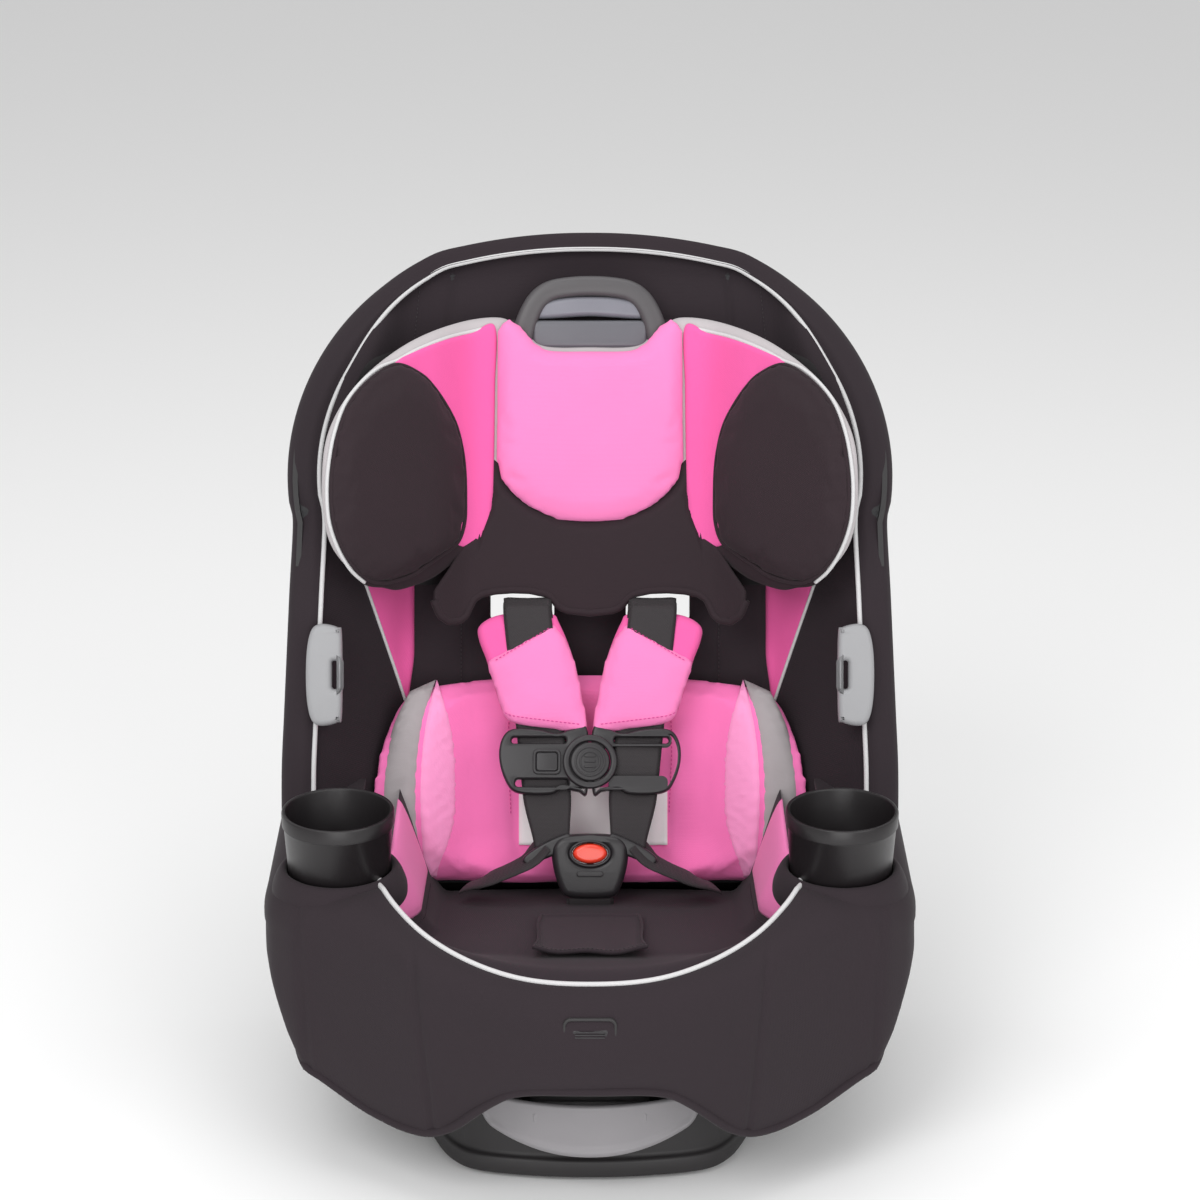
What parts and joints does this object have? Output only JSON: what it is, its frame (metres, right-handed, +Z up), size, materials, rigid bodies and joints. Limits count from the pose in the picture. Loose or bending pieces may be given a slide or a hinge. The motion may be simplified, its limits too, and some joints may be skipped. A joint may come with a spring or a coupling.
{
  "type": "convertible child car seat",
  "caption": "Convertible child car seat: padded bucket on a reclining base, sliding winged headrest, harness with chest clip and buckle, and lift-out cup holders.",
  "frame": {"origin": "on the ground, under the middle of the base's rectangular bottom", "axes": "+Z up, +X to the right of someone looking at the front, and the seat faces -Y"},
  "size_m": [0.488, 0.5619, 0.6202],
  "materials": {
    "cover_dark": "woven dark fabric with light piping",
    "cover_pink": "soft pink mesh fabric",
    "trim_grey": "light grey fabric",
    "pad_black": "soft black fabric",
    "webbing": "tight woven webbing",
    "foam": "expanded bead foam",
    "shell_plastic": "moulded, fine grain",
    "grey_plastic": "moulded, fine grain",
    "clip_plastic": "moulded, satin",
    "cup_plastic": "moulded, satin",
    "button_red": "moulded, glossy",
    "steel": "zinc plated",
    "rubber_foot": "moulded"
  },
  "bodies": {
    "base": {"base_shell": "shell_plastic", "base_feet": "rubber_foot", "pivot_bushes": "shell_plastic", "pivot_shaft": "steel", "recline_spring": "steel", "handle_pin": "steel", "handle_brackets": "shell_plastic"},
    "recline_handle": {"recline_handle": "grey_plastic"},
    "recline_bolt": {"recline_bolt": "steel"},
    "seat": {"seat_shell": "shell_plastic", "pivot_brackets": "steel", "recline_rack": "steel", "torso_foam": "foam", "torso_liner": "cover_dark", "back_cover": "cover_dark", "seat_foam": "foam", "seat_cushion": "cover_dark", "arm_foams": "foam", "arm_pads": "cover_dark", "apron": "cover_dark", "body_insert": "cover_pink", "headrest_rods": "steel", "rod_brackets": "shell_plastic", "bracket_screws": "steel", "lock_strip": "steel", "cup_sockets": "shell_plastic", "cup_collars": "cover_dark", "shoulder_strap_left": "webbing", "shoulder_strap_right": "webbing", "lap_strap_left": "webbing", "lap_strap_right": "webbing", "buckle_tongue_left": "steel", "buckle_tongue_right": "steel", "buckle_housing": "clip_plastic", "crotch_strap": "webbing", "crotch_anchor": "steel", "harness_yoke": "steel", "adjuster_webbing": "webbing", "adjuster_housing": "clip_plastic", "wing_clips": "grey_plastic"},
    "headrest": {"headrest_shell": "shell_plastic", "headrest_foam": "foam", "headrest_cover": "trim_grey", "headrest_wing_pad_left": "pad_black", "headrest_wing_pad_right": "pad_black", "headrest_centre_pad": "cover_pink", "headrest_bib": "pad_black", "headrest_grip": "grey_plastic", "shoulder_pad_left": "pad_black", "shoulder_pad_right": "pad_black"},
    "headrest_trigger": {"headrest_trigger": "grey_plastic"},
    "lock_pin": {"lock_pin": "steel"},
    "cup_holder_left": {"cup_holder_left": "cup_plastic"},
    "cup_holder_right": {"cup_holder_right": "cup_plastic"},
    "buckle_button": {"buckle_button": "button_red"},
    "adjuster_lever": {"adjuster_lever": "clip_plastic"},
    "chest_clip": {"chest_clip_left": "clip_plastic", "chest_clip_right": "clip_plastic"},
    "chest_clip_button": {"chest_clip_button": "clip_plastic"}
  },
  "joints": [
    {"name": "recline", "type": "hinge", "parent": "base", "child": "seat", "pos_m": [0, 0.12, 0.048], "axis": [-1, 0, 0], "range_deg": [0, 12]},
    {"name": "recline_handle_pull", "type": "hinge", "parent": "base", "child": "recline_handle", "pos_m": [0, -0.1875, 0.066], "axis": [-1, 0, 0], "range_deg": [0, 25], "stiffness_Nm_per_rad": 0.4, "springref_deg": -34.38},
    {"name": "recline_bolt_slide", "type": "slide", "parent": "base", "child": "recline_bolt", "axis": [0, -1, 0], "range_m": [0, 0.008], "deforming": ["recline_spring"]},
    {"name": "headrest_height", "type": "slide", "parent": "seat", "child": "headrest", "axis": [0, 0.342, 0.9397], "range_m": [0, 0.14], "deforming": ["shoulder_strap_left", "shoulder_strap_right"]},
    {"name": "headrest_trigger_squeeze", "type": "slide", "parent": "headrest", "child": "headrest_trigger", "axis": [0, 0.342, 0.9397], "range_m": [0, 0.006], "stiffness_N_per_m": 600, "springref_m": -0.004},
    {"name": "lock_pin_slide", "type": "slide", "parent": "headrest", "child": "lock_pin", "axis": [0, -0.9397, 0.342], "range_m": [0, 0.004]},
    {"name": "cup_holder_left_lift", "type": "slide", "parent": "seat", "child": "cup_holder_left", "axis": [0, 0, 1], "range_m": [0, 0.09]},
    {"name": "cup_holder_right_lift", "type": "slide", "parent": "seat", "child": "cup_holder_right", "axis": [0, 0, 1], "range_m": [0, 0.09]},
    {"name": "buckle_button_press", "type": "slide", "parent": "seat", "child": "buckle_button", "axis": [0, 0.9397, -0.342], "range_m": [0, 0.003], "stiffness_N_per_m": 1500, "springref_m": -0.002},
    {"name": "adjuster_lever_press", "type": "hinge", "parent": "seat", "child": "adjuster_lever", "pos_m": [0, -0.2335, 0.1595], "axis": [1, 0, 0], "range_deg": [0, 18], "stiffness_Nm_per_rad": 0.12, "springref_deg": -17.19},
    {"name": "chest_clip_slide", "type": "slide", "parent": "seat", "child": "chest_clip", "axis": [0, 0.5228, 0.8524], "range_m": [-0.014, 0]},
    {"name": "chest_clip_button_press", "type": "slide", "parent": "chest_clip", "child": "chest_clip_button", "axis": [0, 0.8524, -0.5228], "range_m": [0, 0.0025], "stiffness_N_per_m": 900, "springref_m": -0.002}
  ],
  "couplings": [
    {"joint": "recline_bolt_slide", "follows": "recline_handle_pull", "m_per_rad": 0.018},
    {"joint": "lock_pin_slide", "follows": "headrest_trigger_squeeze", "ratio": 0.6}
  ]
}
